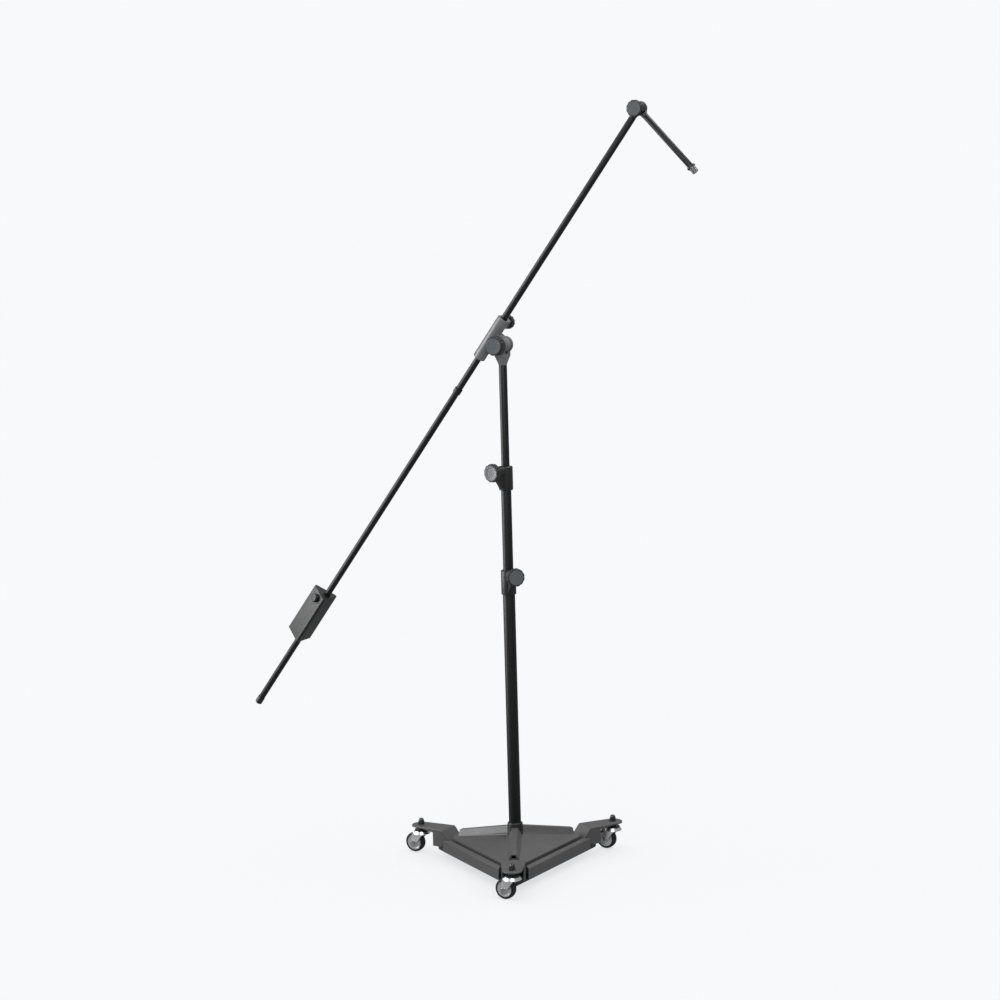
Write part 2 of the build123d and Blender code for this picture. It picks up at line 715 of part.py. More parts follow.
def knuckle_bolt():
    """Bolt through both discs; its dome lies behind the mini boom's disc."""
    head = cross_rod(9, -knuckle_t - 6, -knuckle_t - 0.1)
    head = fillet(head.edges().filter_by(GeomType.CIRCLE).sort_by(Axis.Y)[:1], 3)
    return head + cross_rod(bolt_d / 2, -knuckle_t - 1, knuckle_t + knuckle_knob_depth - 6)


coupling_mid = (coupling_at[0] + coupling_at[1]) / 2
add("boom_front_tube", BOOM * pipe(boom_r, boom_r - boom_wall, coupling_mid, boom_front))
add("boom_rear_tube", BOOM * pipe(boom_r, boom_r - boom_wall, boom_rear, coupling_mid))
add("boom_coupling", BOOM * boom_coupling())
add("boom_knuckle", BOOM * boom_knuckle())
add("boom_end_cap", BOOM * boom_end_cap())
add("counterweight", BOOM * counterweight())
add("weight_screw", BOOM * weight_screw())
add("mini_knuckle", MINI * mini_knuckle())
add("knuckle_bolt", MINI * knuckle_bolt())
add("mini_tube", MINI * pipe(mini_d / 2, mini_d / 2 - boom_wall, mini_at[0], mini_at[1]))
add("mic_stud", MINI * mic_stud())
knuckle_seat = Pos(0, knuckle_t + free_gap, 0)
add("knuckle_knob", MINI * knuckle_seat * facing_back(knob_body(knuckle_knob_d, knuckle_knob_depth, bolt_d + 0.1)))
add("knuckle_knob_cap", MINI * knuckle_seat * facing_back(knob_cap(knuckle_knob_d, knuckle_knob_depth)))

# ------------------------------------------------------------------ write the pieces
os.makedirs("parts", exist_ok=True)
for name, shape in parts.items():
    solids = shape.solids()
    export_step(solids[0] if len(solids) == 1 else Compound(children=list(solids)), f"parts/{name}.step")
print(len(parts), "nodes")
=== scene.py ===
"""Boom microphone stand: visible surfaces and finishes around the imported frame."""

import json
from math import cos, pi, radians, sin, sqrt

import bmesh
import bpy
import numpy as np
from bpy.props import FloatProperty, FloatVectorProperty, IntProperty, PointerProperty
from mathutils import Matrix, Vector


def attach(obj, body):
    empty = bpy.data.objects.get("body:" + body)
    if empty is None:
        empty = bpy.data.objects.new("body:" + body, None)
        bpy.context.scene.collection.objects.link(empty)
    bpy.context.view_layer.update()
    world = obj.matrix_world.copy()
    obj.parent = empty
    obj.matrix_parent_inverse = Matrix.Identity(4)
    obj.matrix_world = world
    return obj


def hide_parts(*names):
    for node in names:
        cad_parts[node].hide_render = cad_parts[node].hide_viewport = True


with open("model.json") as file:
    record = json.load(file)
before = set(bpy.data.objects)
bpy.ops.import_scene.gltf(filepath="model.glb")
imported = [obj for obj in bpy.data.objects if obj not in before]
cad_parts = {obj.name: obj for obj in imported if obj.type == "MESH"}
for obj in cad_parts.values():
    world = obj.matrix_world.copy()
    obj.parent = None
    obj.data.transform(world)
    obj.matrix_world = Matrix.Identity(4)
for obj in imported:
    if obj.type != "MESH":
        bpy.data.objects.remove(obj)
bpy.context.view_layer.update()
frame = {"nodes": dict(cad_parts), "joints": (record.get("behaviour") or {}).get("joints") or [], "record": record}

bl_info = {
    "name": "Boom microphone stand",
    "version": (1, 0, 0),
    "blender": (4, 5, 0),
    "location": "View3D > Sidebar > Stand",
    "description": "Builds the surfaces, finishes and stage of a boom microphone stand",
    "category": "Add Mesh",
}

MM = 0.001
MAST_WALL = 1.8 * MM
BOOM_WALL = 1.5 * MM
BOOM_BORE = 8.3 * MM         # bore of the counterweight
SOCKET_WALL = 3.9 * MM
SOCKET_FOOT = 6 * MM
WEIGHT_SIDE = 70 * MM
WEIGHT_OFF = 6 * MM          # middle of the counterweight's section above the boom's axis
WEIGHT_CORNER = 5.2 * MM
FLANGE_T = 5 * MM            # flange under the microphone thread
THREAD_DEPTH = 0.55 * MM
MERGE = 2e-6                 # corners nearer than this, in metres, are one
FLAT = 0.6                   # degrees between faces that are joined into one flat
NEAR_AXIS = 0.5 * MM         # where a solid of revolution's profile starts and ends
SHAFT_CORE = 0.3 * MM        # the same for a slim shaft
SPREAD = (0.3, 0.7)          # limits between which most of a noise pattern lies
FLOOR_REACH = 60.0           # metres from the mast to the floor's sides
FLOOR_GLOW = (0.66, 0.667, 0.682, 1)
LAMP_COLOUR = (0.985, 0.99, 1.0)
SKY_STRENGTH = 0.4
WALL_COLOUR = (0.939, 0.947, 0.965, 1)
JOINTS = {joint["name"]: joint for joint in frame["joints"]}
BODY_OF = {
    node: body
    for body, nodes in frame["record"]["behaviour"]["bodies"].items()
    for node in nodes
}


# ------------------------------------------------------------------ places
def placement(origin, z_axis, x_hint):
    """Frame with its Z along one direction and its X as near as it can be to another."""
    z = np.array(z_axis, float)
    z /= np.linalg.norm(z)
    x = np.array(x_hint, float)
    x -= z * (x @ z)
    x /= np.linalg.norm(x)
    return np.column_stack([x, np.cross(z, x), z]), np.array(origin, float)


WORLD = placement((0, 0, 0), (0, 0, 1), (1, 0, 0))
BOOM = placement(JOINTS["boom_roll"]["pos_m"], JOINTS["boom_roll"]["axis"], (-1, 0, 1))
MIC = next(m for m in frame["record"]["mounts"] if m["name"] == "mic_thread")
MINI = placement(JOINTS["mini_boom_tilt"]["pos_m"], MIC["axis"], (1, 0, 1))


def at_joint(name):
    """Frame of a knob: its Z leaves the piece along the joint's axis."""
    joint = JOINTS[name]
    hint = (0, 0, 1) if abs(joint["axis"][2]) < 0.9 else (1, 0, 0)
    return placement(joint["pos_m"], joint["axis"], hint)


def put(points, place):
    """Local points in metres turned and moved into the shared frame."""
    turn, origin = place
    return points @ turn.T + origin


def local_box(node, place):
    """Lowest and highest corner of a CAD node in a local frame."""
    turn, origin = place
    co = np.empty(len(frame["nodes"][node].data.vertices) * 3, np.float32)
    frame["nodes"][node].data.vertices.foreach_get("co", co)
    local = (co.reshape(-1, 3) - origin) @ turn
    return local.min(0), local.max(0)


# ------------------------------------------------------------------ surfaces
def eased(points, radius, closed=False, steps=4):
    """Polyline with its corners replaced by arcs: each arc touches both runs of its corner and
    is cut back where a run is too short for it."""
    p = np.array(points, float)
    count = len(p)
    radii = np.broadcast_to(radius, count)
    out = []
    for i in range(count):
        if (not closed and i in (0, count - 1)) or radii[i] <= 0:
            out.append(p[i : i + 1])
            continue
        a, b = p[i - 1] - p[i], p[(i + 1) % count] - p[i]
        la, lb = np.linalg.norm(a), np.linalg.norm(b)
        a, b = a / la, b / lb
        half = np.arccos(np.clip(a @ b, -1, 1)) / 2
        if half > 1.55:
            out.append(p[i : i + 1])
            continue
        cut = min(radii[i] / np.tan(half), 0.47 * la, 0.47 * lb)
        r = cut * np.tan(half)
        middle = (a + b) / np.linalg.norm(a + b)
        centre = p[i] + middle * np.hypot(cut, r)
        start, end = p[i] + a * cut - centre, p[i] + b * cut - centre
        sweep = np.arccos(np.clip(start @ end / r**2, -1, 1))
        t = np.linspace(0, 1, steps + 1)[:, None]
        arc = (np.sin((1 - t) * sweep) * start + np.sin(t * sweep) * end) / np.sin(sweep)
        out.append(centre + arc)
    return np.vstack(out)


def shell(rings, loop=False):
    """Closed surface through a stack of rings, each a closed curve of the same count of points.
    A stack that isn't a loop is closed by a fan of triangles at each end."""
    rings = np.asarray(rings, float)
    rows, cols = rings.shape[:2]
    r = np.arange(rows if loop else rows - 1)[:, None]
    c = np.arange(cols)[None, :]
    after, beside = (r + 1) % rows, (c + 1) % cols
    faces = np.stack(
        [r * cols + c, r * cols + beside, after * cols + beside, after * cols + c], -1
    ).reshape(-1, 4)
    verts = rings.reshape(-1, 3)
    fans = []
    if not loop:
        ends = [rings[0].mean(0), rings[-1].mean(0)]
        k = np.arange(cols)
        low = np.stack([np.full(cols, len(verts)), (k + 1) % cols, k], -1)
        top = (rows - 1) * cols
        high = np.stack([np.full(cols, len(verts) + 1), top + k, top + (k + 1) % cols], -1)
        verts = np.vstack([verts, ends])
        fans = np.vstack([low, high])
    a, b, d = (verts[faces[:, i]] for i in (0, 1, 2))
    volume = np.einsum("ij,ij->", a, np.cross(b, d))
    a, b, d = (verts[faces[:, i]] for i in (0, 2, 3))
    volume += np.einsum("ij,ij->", a, np.cross(b, d))
    if len(fans):
        a, b, d = (verts[fans[:, i]] for i in (0, 1, 2))
        volume += np.einsum("ij,ij->", a, np.cross(b, d))
    if volume < 0:
        faces = faces[:, ::-1]
        fans = fans[:, ::-1] if len(fans) else fans
    return verts, faces.tolist() + [list(f) for f in np.asarray(fans, int).tolist()]


def lathe(profile, loop=False, segments=64, squeeze=None):
    """Surface of revolution: every profile point (r, h) goes round as (r cos a, r sin a, h).
    Squeeze, a function of angle and height, lowers the radius for grips and threads."""
    profile = np.asarray(profile, float)
    a = np.linspace(0, 2 * pi, segments, endpoint=False)[None, :]
    r = np.broadcast_to(profile[:, :1], (len(profile), segments)).copy()
    h = np.broadcast_to(profile[:, 1:2], r.shape)
    if squeeze is not None:
        r -= squeeze(a, h, r)
    return shell(np.stack([r * np.cos(a), r * np.sin(a), h], -1), loop)


def pipe(r_out, r_in, low, high, rim=0.4 * MM, segments=64):
    """Tube: its wall's outline, with eased rims, goes round the axis."""
    wall = [(r_in, low), (r_out, low), (r_out, high), (r_in, high)]
    return lathe(eased(wall, rim, True, 3), True, segments)


def turned(points, radius=0.6 * MM, steps=4, segments=64):
    """Solid of revolution from a profile that starts and ends near the axis."""
    return lathe(eased(points, radius, False, steps), False, segments)


# ------------------------------------------------------------------ pieces
def piece(name, parts, material, nodes, place=WORLD, sharp=38.0):
    """Makes one object from closed parts, lets it stand for CAD nodes and ride on their body."""
    verts, faces, offset = [], [], 0
    for part_verts, part_faces in parts:
        verts.append(part_verts)
        faces += [[i + offset for i in face] for face in part_faces]
        offset += len(part_verts)
    mesh = bpy.data.meshes.new(name)
    mesh.from_pydata(put(np.vstack(verts), place).tolist(), [], faces)
    return settle(name, mesh, material, nodes, sharp)


def settle(name, mesh, material, nodes, sharp):
    """Shading, material, slot, body and the CAD nodes that the mesh stands for."""
    mesh.validate()
    mesh.shade_smooth()
    mesh.set_sharp_from_angle(angle=radians(sharp))
    mesh.materials.clear()
    mesh.materials.append(material)
    made = bpy.data.objects.new(name, mesh)
    bpy.context.scene.collection.objects.link(made)
    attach(made, BODY_OF[nodes[0]])
    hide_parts(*nodes)
    return made


def casting(node, material, edge, steps=2, angle=32.0):
    """Copy of a CAD node with its flats joined and every real edge rounded."""
    mesh = frame["nodes"][node].data.copy()
    mesh.name = node + "_skin"
    grid = bmesh.new()
    grid.from_mesh(mesh)
    bmesh.ops.remove_doubles(grid, verts=grid.verts, dist=MERGE)
    bmesh.ops.dissolve_limit(
        grid, angle_limit=radians(FLAT), verts=grid.verts, edges=grid.edges, delimit={"NORMAL"}
    )
    grid.to_mesh(mesh)
    grid.free()
    made = settle(node + "_skin", mesh, material, [node], angle)
    if edge > 0:
        bevel = made.modifiers.new("eased edges", "BEVEL")
        bevel.width = edge
        bevel.segments = steps
        bevel.limit_method = "ANGLE"
        bevel.angle_limit = radians(angle)
        bevel.use_clamp_overlap = True
        bevel.harden_normals = False
    return made


# ------------------------------------------------------------------ finishes
def ramp(nodes, links, source, low, high, value_low, value_high):
    """Maps a pattern between two limits onto two values."""
    node = nodes.new("ShaderNodeMapRange")
    node.inputs["From Min"].default_value = low
    node.inputs["From Max"].default_value = high
    node.inputs["To Min"].default_value = value_low
    node.inputs["To Max"].default_value = value_high
    links.new(source, node.inputs["Value"])
    return node.outputs["Result"]


def noise(nodes, links, vector, scale, detail=3.0, roughness=0.55):
    node = nodes.new("ShaderNodeTexNoise")
    node.inputs["Scale"].default_value = scale
    node.inputs["Detail"].default_value = detail
    node.inputs["Roughness"].default_value = roughness
    links.new(vector, node.inputs["Vector"])
    return node.outputs["Fac"]


def finish(name, color, rough, metallic=0.0, patch=0.12, patch_scale=14.0, grain=0.0,
           grain_scale=900.0, pits=0.0, pit_scale=260.0, scuff=0.0, scuff_color=(0.25, 0.25, 0.25),
           rough_spread=0.08, specular=0.5, dust=0.0):
    """Paint, plastic, rubber or metal. The colour drifts in soft patches, with lighter scuffs and a
    film of dust on faces that look up; roughness drifts more finely; the height adds grain and pits."""
    material = bpy.data.materials.new(name)
    material.use_nodes = True
    nodes, links = material.node_tree.nodes, material.node_tree.links
    nodes.clear()
    out = nodes.new("ShaderNodeOutputMaterial")
    shader = nodes.new("ShaderNodeBsdfPrincipled")
    links.new(shader.outputs["BSDF"], out.inputs["Surface"])
    shader.inputs["Metallic"].default_value = metallic
    shader.inputs["Specular IOR Level"].default_value = specular
    place = nodes.new("ShaderNodeTexCoord").outputs["Object"]
    drift = noise(nodes, links, place, patch_scale)
    mix = nodes.new("ShaderNodeMix")
    mix.data_type = "RGBA"
    links.new(ramp(nodes, links, drift, *SPREAD, 0.0, 1.0), mix.inputs["Factor"])
    mix.inputs["A"].default_value = (*[c * (1 - patch) for c in color], 1)
    mix.inputs["B"].default_value = (*[min(1, c * (1 + patch)) for c in color], 1)
    shade = mix.outputs["Result"]
    fine = noise(nodes, links, place, patch_scale * 7, 4.0, 0.65)
    roughness = ramp(nodes, links, fine, *SPREAD, rough - rough_spread, rough + rough_spread)
    if scuff > 0:
        stretch = nodes.new("ShaderNodeMapping")
        stretch.inputs["Scale"].default_value = (1.0, 1.0, 5.0)
        links.new(place, stretch.inputs["Vector"])
        marks = noise(nodes, links, stretch.outputs["Vector"], 90.0, 6.0, 0.7)
        worn = ramp(nodes, links, marks, 0.66, 0.72, 0.0, scuff)
        rub = nodes.new("ShaderNodeMix")
        rub.data_type = "RGBA"
        links.new(worn, rub.inputs["Factor"])
        links.new(shade, rub.inputs["A"])
        rub.inputs["B"].default_value = (*scuff_color, 1)
        shade = rub.outputs["Result"]
    if dust > 0:
        up = nodes.new("ShaderNodeNewGeometry")
        parts = nodes.new("ShaderNodeSeparateXYZ")
        links.new(up.outputs["Normal"], parts.inputs["Vector"])
        lying = ramp(nodes, links, parts.outputs["Z"], 0.3, 1.0, 0.0, 1.0)
        grit = noise(nodes, links, place, 60.0, 8.0, 0.75)
        specks = ramp(nodes, links, grit, 0.42, 0.75, 0.0, dust)
        both = nodes.new("ShaderNodeMath")
        both.operation = "MULTIPLY"
        links.new(lying, both.inputs[0])
        links.new(specks, both.inputs[1])
        film = nodes.new("ShaderNodeMix")
        film.data_type = "RGBA"
        links.new(both.outputs["Value"], film.inputs["Factor"])
        links.new(shade, film.inputs["A"])
        film.inputs["B"].default_value = (0.42, 0.42, 0.41, 1)
        shade = film.outputs["Result"]
    links.new(shade, shader.inputs["Base Color"])
    links.new(roughness, shader.inputs["Roughness"])
    normal = None
    for height, scale, detail in ((pits, pit_scale, 2.0), (grain, grain_scale, 3.0)):
        if height > 0:
            bump = nodes.new("ShaderNodeBump")
            bump.inputs["Strength"].default_value = 1.0
            bump.inputs["Distance"].default_value = height
            links.new(noise(nodes, links, place, scale, detail), bump.inputs["Height"])
            if normal is not None:
                links.new(normal, bump.inputs["Normal"])
            normal = bump.outputs["Normal"]
    if normal is not None:
        links.new(normal, shader.inputs["Normal"])
    return material


def finishes():
    """Every finish of the stand, made once."""
    wanted = {
        "tube paint": dict(color=colours().tube, rough=0.46, patch=0.15, patch_scale=9, grain=6e-6,
                           grain_scale=1500, scuff=0.15, scuff_color=(0.02, 0.02, 0.021),
                           rough_spread=0.04, specular=0.25),
        "powder coat": dict(color=colours().base, rough=0.5, patch=0.05, patch_scale=6, grain=2.2e-5,
                            grain_scale=1100, pits=2.5e-5, pit_scale=420, rough_spread=0.04, dust=0.05),
        "black casting": dict(color=colours().clamp, rough=0.45, patch=0.2, patch_scale=30, grain=2e-5,
                              grain_scale=1300, pits=3e-5, pit_scale=500, scuff=0.2,
                              scuff_color=(0.04, 0.04, 0.04), specular=0.4),
        "grey casting": dict(color=colours().head, rough=0.45, patch=0.07, patch_scale=35,
                             grain=2e-5, grain_scale=1400, pits=3.5e-5, pit_scale=480, scuff=0.2,
                             scuff_color=(0.14, 0.14, 0.14)),
        "weight enamel": dict(color=colours().weight, rough=0.5, patch=0.22, patch_scale=26, grain=3e-5,
                              grain_scale=900, pits=9e-5, pit_scale=210, scuff=0.3,
                              scuff_color=(0.05, 0.05, 0.05), rough_spread=0.08, dust=0.04,
                              specular=0.35),
        "knob plastic": dict(color=colours().knob, rough=0.5, patch=0.1, patch_scale=40, grain=2.4e-5,
                             grain_scale=2200, rough_spread=0.05, specular=0.35),
        "cap enamel": dict(color=colours().cap, rough=0.33, patch=0.06, patch_scale=45, grain=8e-6,
                           grain_scale=1700, rough_spread=0.05),
        "bright zinc": dict(color=(0.66, 0.67, 0.69), rough=0.34, metallic=1.0, patch=0.08,
                            patch_scale=60, grain=6e-6, grain_scale=1300, rough_spread=0.09),
        "plated steel": dict(color=(0.32, 0.325, 0.335), rough=0.32, metallic=1.0, patch=0.1,
                             patch_scale=70, grain=8e-6, grain_scale=1800, rough_spread=0.1),
        "black oxide": dict(color=(0.02, 0.02, 0.021), rough=0.32, patch=0.2, patch_scale=80,
                            grain=8e-6, grain_scale=1500, scuff=0.3, scuff_color=(0.12, 0.12, 0.12)),
        "tyre rubber": dict(color=(0.009, 0.009, 0.0095), rough=0.62, patch=0.25, patch_scale=60,
                            grain=4e-5, grain_scale=1600, scuff=0.3, scuff_color=(0.03, 0.029, 0.028),
                            dust=0.06, specular=0.3),
        "hub plastic": dict(color=(0.4, 0.405, 0.41), rough=0.3, patch=0.08, patch_scale=70,
                            grain=1.2e-5, grain_scale=1800),
        # near-black nylon: its dark colour is painted shade, standing for the shade inside the mouths of the
        # sleeve and collars where the liner and bushes sit
        "nylon darkened as painted shade": dict(color=(0.04, 0.04, 0.042), rough=0.5, patch=0.06, patch_scale=50, grain=1e-5,
                      grain_scale=1500),
        "friction facing": dict(color=(0.02, 0.02, 0.02), rough=0.75, patch=0.3, patch_scale=120,
                                grain=6e-5, grain_scale=1400),
    }
    for name, values in wanted.items():
        if name not in bpy.data.materials:
            finish(name, **values)
    return bpy.data.materials


# ------------------------------------------------------------------ settings
class StandSizes(bpy.types.PropertyGroup):
    """Sizes that only the visible surfaces have."""

    rim: FloatProperty(
        name="Tube rim", description="Rounding at the tubes' cut ends", default=0.4 * MM,
        min=0.0, unit="LENGTH", precision=5,
    )
    edge: FloatProperty(
        name="Casting edge", description="Rounding on the edges of castings", default=0.8 * MM,
        min=0.0, unit="LENGTH", precision=5,
    )
    pressed_edge: FloatProperty(
        name="Pressed edge", description="Rounding on the edges of pressed steel", default=0.6 * MM,
        min=0.0, unit="LENGTH", precision=5,
    )
    grips: IntProperty(name="Knob grips", description="Hollows round each knob", default=12, min=3)
    grip_depth: FloatProperty(
        name="Grip depth", description="Depth of the hollows round each knob", default=0.9 * MM,
        min=0.0, unit="LENGTH", precision=5,
    )
    thread_pitch: FloatProperty(
        name="Thread pitch", description="Pitch of the microphone thread", default=25.4 / 27 * MM,
        min=0.0001, unit="LENGTH", precision=6,
    )
    smooth: IntProperty(name="Segments", description="Segments round a tube", default=64, min=16)


class StandColours(bpy.types.PropertyGroup):
    """Colours of the finishes."""

    tube: FloatVectorProperty(
        name="Tubes", description="Paint of mast and boom", subtype="COLOR",
        default=(0.0055, 0.0055, 0.006),
    )
    base: FloatVectorProperty(
        name="Base", description="Powder coat of the base", subtype="COLOR",
        default=(0.068, 0.067, 0.068),
    )
    clamp: FloatVectorProperty(
        name="Clamps", description="Enamel of the collars", subtype="COLOR",
        default=(0.0075, 0.0075, 0.008),
    )
    head: FloatVectorProperty(
        name="Head", description="Enamel of the yoke and sleeve", subtype="COLOR",
        default=(0.125, 0.129, 0.134),
    )
    weight: FloatVectorProperty(
        name="Counterweight", description="Enamel of the counterweight", subtype="COLOR",
        default=(0.011, 0.011, 0.0115),
    )
    knob: FloatVectorProperty(
        name="Knobs", description="Plastic of the knobs", subtype="COLOR",
        default=(0.012, 0.0125, 0.0135),
    )
    cap: FloatVectorProperty(
        name="Caps", description="Inlays of the knobs", subtype="COLOR", default=(0.085, 0.098, 0.107)
    )


class StandStage(bpy.types.PropertyGroup):
    """Camera and light."""

    azimuth: FloatProperty(
        name="Azimuth", description="Camera's direction round the mast", subtype="ANGLE",
        default=radians(28.0066),
    )
    distance: FloatProperty(
        name="Distance", description="Camera's distance from the mast", unit="LENGTH", default=5.9546
    )
    height: FloatProperty(
        name="Height", description="Camera's height above the floor", unit="LENGTH", default=1.7447
    )
    pitch: FloatProperty(
        name="Pitch", description="How far the camera looks down", subtype="ANGLE",
        default=radians(7.9173),
    )
    yaw: FloatProperty(
        name="Yaw", description="How far the camera looks past the mast", subtype="ANGLE",
        default=radians(-0.1499),
    )
    roll: FloatProperty(
        name="Roll", description="Lean of the camera", subtype="ANGLE", default=radians(-1.5534)
    )
    lens: FloatProperty(name="Lens", description="Focal length in millimetres", default=89.07, min=10)


def sizes():
    return bpy.context.scene.stand_sizes


def colours():
    return bpy.context.scene.stand_colours


# ------------------------------------------------------------------ operators
class BuildTubes(bpy.types.Operator):
    """Mast, boom and mini boom tubes"""

    bl_idname = "stand.build_tubes"
    bl_label = "Tubes"

    def execute(self, context):
        paint = finishes()["tube paint"]
        walls = {
            "lower_tube": (WORLD, MAST_WALL), "middle_tube": (WORLD, MAST_WALL),
            "upper_tube": (WORLD, MAST_WALL), "boom_front_tube": (BOOM, BOOM_WALL),
            "boom_rear_tube": (BOOM, BOOM_WALL), "mini_tube": (MINI, BOOM_WALL),
        }
        for node, (place, wall) in walls.items():
            low, high = local_box(node, place)
            r = high[1]
            part = pipe(r, r - wall, low[2], high[2], sizes().rim, sizes().smooth)
            piece(node + "_skin", [part], paint, [node], place)
        return {"FINISHED"}


def knob_grip(depth, count):
    """Radius lost at an angle: cosine hollows between even lands, fading towards the hub."""
    def squeeze(a, h, r):
        wave = np.clip(np.cos(a * count), 0, 1) ** 0.8
        outer = np.clip((r - 0.86 * r.max()) / (0.14 * r.max()), 0, 1)
        return depth * wave * outer
    return squeeze


class BuildKnobs(bpy.types.Operator):
    """Clamp knobs, their caps and the counterweight's thumb screw"""

    bl_idname = "stand.build_knobs"
    bl_label = "Knobs"

    def execute(self, context):
        made = finishes()
        knobs = {
            "lower_knob": "lower_knob_turn", "middle_knob": "middle_knob_turn",
            "tilt_knob": "tilt_knob_turn", "knuckle_knob": "knuckle_knob_turn",
            "lock_knob": "lock_knob_turn",
        }
        for node, joint in knobs.items():
            place = at_joint(joint)
            low, high = local_box(node, place)
            r, base, top = high[0], low[2], high[2]
            depth = top - base
            recess = 0.82 * r
            outline = [
                (NEAR_AXIS, base), (0.42 * r, base), (0.42 * r, base + 0.2 * depth),
                (r - 3 * MM, base + 0.2 * depth), (r, base + 0.2 * depth + 2.6 * MM),
                (r, top - 2.4 * MM), (r - 2.2 * MM, top), (recess, top), (recess, top - 2 * MM),
                (NEAR_AXIS, top - 2 * MM),
            ]
            radii = np.array([0, 0.6, 1.2, 1.5, 1.5, 1.8, 1.2, 0.4, 0.3, 0]) * MM
            grip = knob_grip(sizes().grip_depth, sizes().grips)
            body = lathe(eased(outline, radii, False, 5), False, 180, grip)
            piece(node + "_skin", [body], made["knob plastic"], [node], place)
            if node == "lock_knob":
                continue
            cap = recess - 0.1 * MM
            dish = [
                (NEAR_AXIS, top - 1.9 * MM), (cap, top - 1.9 * MM), (cap, top + 0.75 * MM),
                (cap - 1.6 * MM, top + 0.75 * MM), (0.55 * cap, top + 0.35 * MM),
                (NEAR_AXIS, top + 0.3 * MM),
            ]
            part = turned(dish, np.array([0, 0.2, 0.6, 1.0, 4, 0]) * MM, 4, 96)
            piece(node + "_cap_skin", [part], made["cap enamel"], [node + "_cap"], place)
        self.thumb_screw(made)
        return {"FINISHED"}

    def thumb_screw(self, made):
        """Ribbed head on a plain shank."""
        place = at_joint("weight_screw_turn")
        low, high = local_box("weight_screw", place)
        r, top = high[0], high[2]
        head = [
            (NEAR_AXIS, 1 * MM), (r - 0.8 * MM, 1 * MM), (r, 1.8 * MM), (r, top - 1.2 * MM),
            (r - 1.2 * MM, top), (NEAR_AXIS, top),
        ]

        def ribs(a, h, rr):
            outer = np.clip((rr - 0.8 * r) / (0.2 * r), 0, 1)
            return 0.5 * MM * (0.5 + 0.5 * np.cos(a * 30)) * outer

        grip = lathe(eased(head, 0.5 * MM, False, 3), False, 240, ribs)
        shank = turned(
            [(SHAFT_CORE, low[2]), (3 * MM, low[2]), (3 * MM, 1.5 * MM), (SHAFT_CORE, 1.5 * MM)], 0.5 * MM
        )
        piece("weight_screw_skin", [grip, shank], made["knob plastic"], ["weight_screw"], place)


